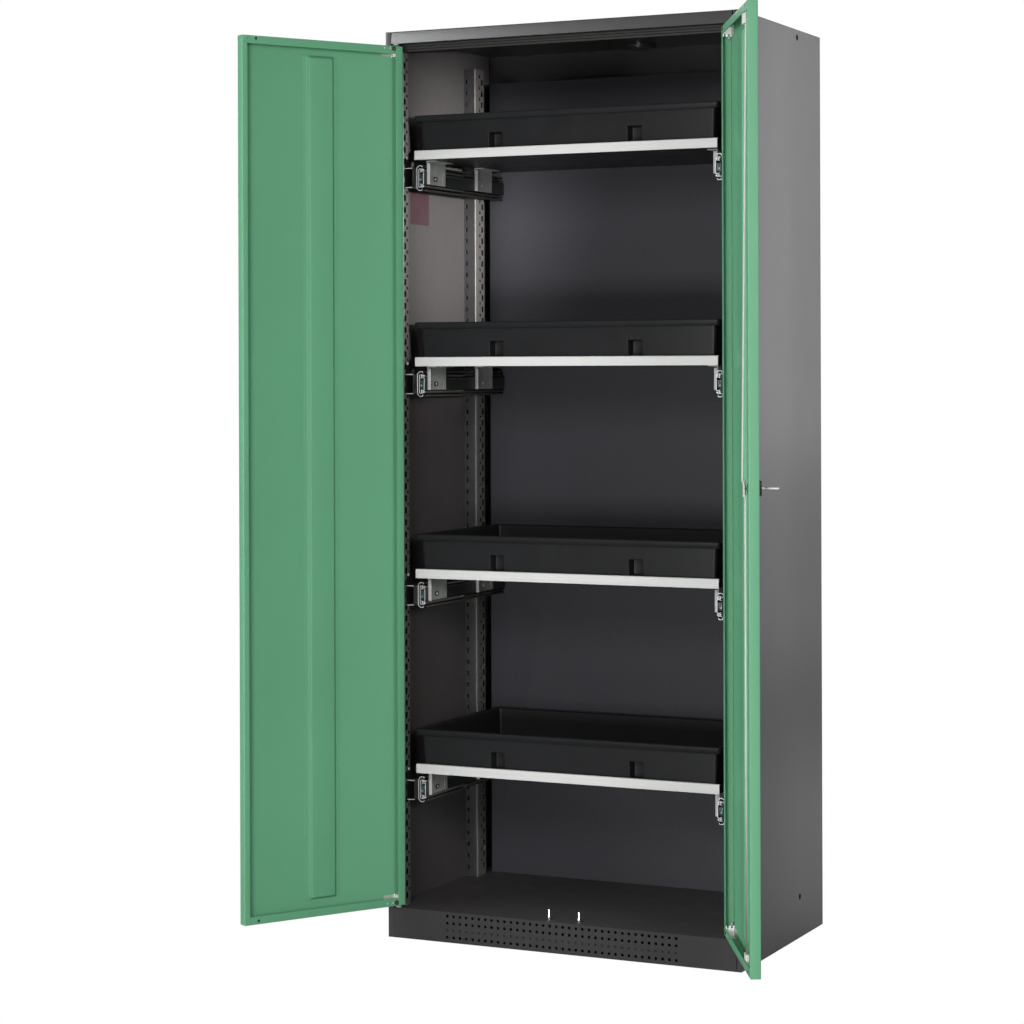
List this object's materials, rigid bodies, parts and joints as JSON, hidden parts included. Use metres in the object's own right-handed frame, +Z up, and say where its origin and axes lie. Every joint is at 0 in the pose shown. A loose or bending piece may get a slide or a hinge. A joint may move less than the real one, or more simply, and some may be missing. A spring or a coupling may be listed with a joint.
{
  "type": "reagent drawer cabinet",
  "caption": "Tall steel chemical storage cabinet with wing doors, a rod lock, and pull-out shelves with plastic trays on telescopic slides.",
  "frame": {"origin": "on the floor under the middle of the body (the body without its open doors)", "axes": "+Z up, the doors and drawers face -Y, +X to the right seen from the front"},
  "size_m": [1.1595, 0.8466, 1.995],
  "materials": {
    "body_paint": "fine matt powder coat, anthracite",
    "interior_paint": "fine matt powder coat, anthracite",
    "door_paint": "satin powder coat, green",
    "front_strip": "satin powder coat, light grey",
    "black_paint": "matt black coat",
    "tray_plastic": "moulded black polyethylene, fine grain",
    "slide_steel": "black-zinc plated steel, bright cut ends",
    "zinc_steel": "zinc plated steel",
    "chrome_steel": "bright plated",
    "black_nylon": "moulded black nylon",
    "white_nylon": "moulded white nylon",
    "black_rubber": "matt rubber",
    "label_plate": "plain plate with no print"
  },
  "bodies": {
    "cabinet": {"side_panel_left": "body_paint", "side_panel_right": "body_paint", "back_panel": "body_paint", "top_panel": "body_paint", "door_stop_rail": "interior_paint", "floor_panel": "interior_paint", "plinth_front": "body_paint", "base_frame": "body_paint", "rear_duct_panel": "interior_paint", "uprights": "interior_paint", "exhaust_collar": "zinc_steel", "stop_pins": "chrome_steel", "hinge_pins": "chrome_steel", "label_plate": "label_plate", "slide_spacers": "black_paint", "slide_outer_members": "slide_steel", "upright_screws": "zinc_steel"},
    "door_left": {"door_left": "door_paint", "door_edge_left": "door_paint", "stiffener_left": "door_paint", "hinge_brackets_left": "zinc_steel", "hinge_bushes_left": "black_nylon", "buffers_left": "black_rubber"},
    "door_right": {"door_right": "door_paint", "door_edge_right": "door_paint", "stiffener_right": "door_paint", "hinge_brackets_right": "zinc_steel", "hinge_bushes_right": "black_nylon", "buffers_right": "black_rubber", "rod_guides": "white_nylon", "lock_housing": "black_nylon"},
    "lock_plug": {"lock_cylinder": "chrome_steel", "lock_cam": "zinc_steel", "key": "chrome_steel"},
    "rod_upper": {"rod_upper": "zinc_steel"},
    "rod_lower": {"rod_lower": "zinc_steel"},
    "drawer_1": {"shelf_1": "black_paint", "front_strip_1": "front_strip", "tray_1": "tray_plastic", "shelf_brackets_1": "zinc_steel", "slide_inner_1": "slide_steel"},
    "middle_slides_1": {"slide_middle_1": "slide_steel"},
    "drawer_2": {"shelf_2": "black_paint", "front_strip_2": "front_strip", "tray_2": "tray_plastic", "shelf_brackets_2": "zinc_steel", "slide_inner_2": "slide_steel"},
    "middle_slides_2": {"slide_middle_2": "slide_steel"},
    "drawer_3": {"shelf_3": "black_paint", "front_strip_3": "front_strip", "tray_3": "tray_plastic", "shelf_brackets_3": "zinc_steel", "slide_inner_3": "slide_steel"},
    "middle_slides_3": {"slide_middle_3": "slide_steel"},
    "drawer_4": {"shelf_4": "black_paint", "front_strip_4": "front_strip", "tray_4": "tray_plastic", "shelf_brackets_4": "zinc_steel", "slide_inner_4": "slide_steel"},
    "middle_slides_4": {"slide_middle_4": "slide_steel"}
  },
  "joints": [
    {"name": "door_left_hinge", "type": "hinge", "parent": "cabinet", "child": "door_left", "pos_m": [-0.382, -0.249, 0.99], "axis": [0, 0, -1], "range_deg": [-121.3, 0]},
    {"name": "door_right_hinge", "type": "hinge", "parent": "cabinet", "child": "door_right", "pos_m": [0.382, -0.249, 0.99], "axis": [0, 0, 1], "range_deg": [-118, 3.3]},
    {"name": "key_turn", "type": "hinge", "parent": "door_right", "child": "lock_plug", "pos_m": [0.52673, -0.50842, 0.993], "axis": [-0.8829, -0.4695, 0], "range_deg": [0, 90]},
    {"name": "rod_upper_slide", "type": "slide", "parent": "door_right", "child": "rod_upper", "axis": [0, 0, 1], "range_m": [0, 0.01696]},
    {"name": "rod_lower_slide", "type": "slide", "parent": "door_right", "child": "rod_lower", "axis": [0, 0, -1], "range_m": [0, 0.017]},
    {"name": "drawer_1_slide", "type": "slide", "parent": "cabinet", "child": "drawer_1", "axis": [0, -1, 0], "range_m": [0, 0.4]},
    {"name": "middle_slides_1_slide", "type": "slide", "parent": "cabinet", "child": "middle_slides_1", "axis": [0, -1, 0], "range_m": [0, 0.2]},
    {"name": "drawer_2_slide", "type": "slide", "parent": "cabinet", "child": "drawer_2", "axis": [0, -1, 0], "range_m": [0, 0.4]},
    {"name": "middle_slides_2_slide", "type": "slide", "parent": "cabinet", "child": "middle_slides_2", "axis": [0, -1, 0], "range_m": [0, 0.2]},
    {"name": "drawer_3_slide", "type": "slide", "parent": "cabinet", "child": "drawer_3", "axis": [0, -1, 0], "range_m": [0, 0.4]},
    {"name": "middle_slides_3_slide", "type": "slide", "parent": "cabinet", "child": "middle_slides_3", "axis": [0, -1, 0], "range_m": [0, 0.2]},
    {"name": "drawer_4_slide", "type": "slide", "parent": "cabinet", "child": "drawer_4", "axis": [0, -1, 0], "range_m": [0, 0.4]},
    {"name": "middle_slides_4_slide", "type": "slide", "parent": "cabinet", "child": "middle_slides_4", "axis": [0, -1, 0], "range_m": [0, 0.2]}
  ],
  "couplings": [
    {"joint": "key_turn", "follows": "rod_upper_slide", "rad_per_m": 92.6},
    {"joint": "rod_lower_slide", "follows": "rod_upper_slide", "ratio": 1},
    {"joint": "middle_slides_1_slide", "follows": "drawer_1_slide", "ratio": 0.5},
    {"joint": "middle_slides_2_slide", "follows": "drawer_2_slide", "ratio": 0.5},
    {"joint": "middle_slides_3_slide", "follows": "drawer_3_slide", "ratio": 0.5},
    {"joint": "middle_slides_4_slide", "follows": "drawer_4_slide", "ratio": 0.5}
  ]
}
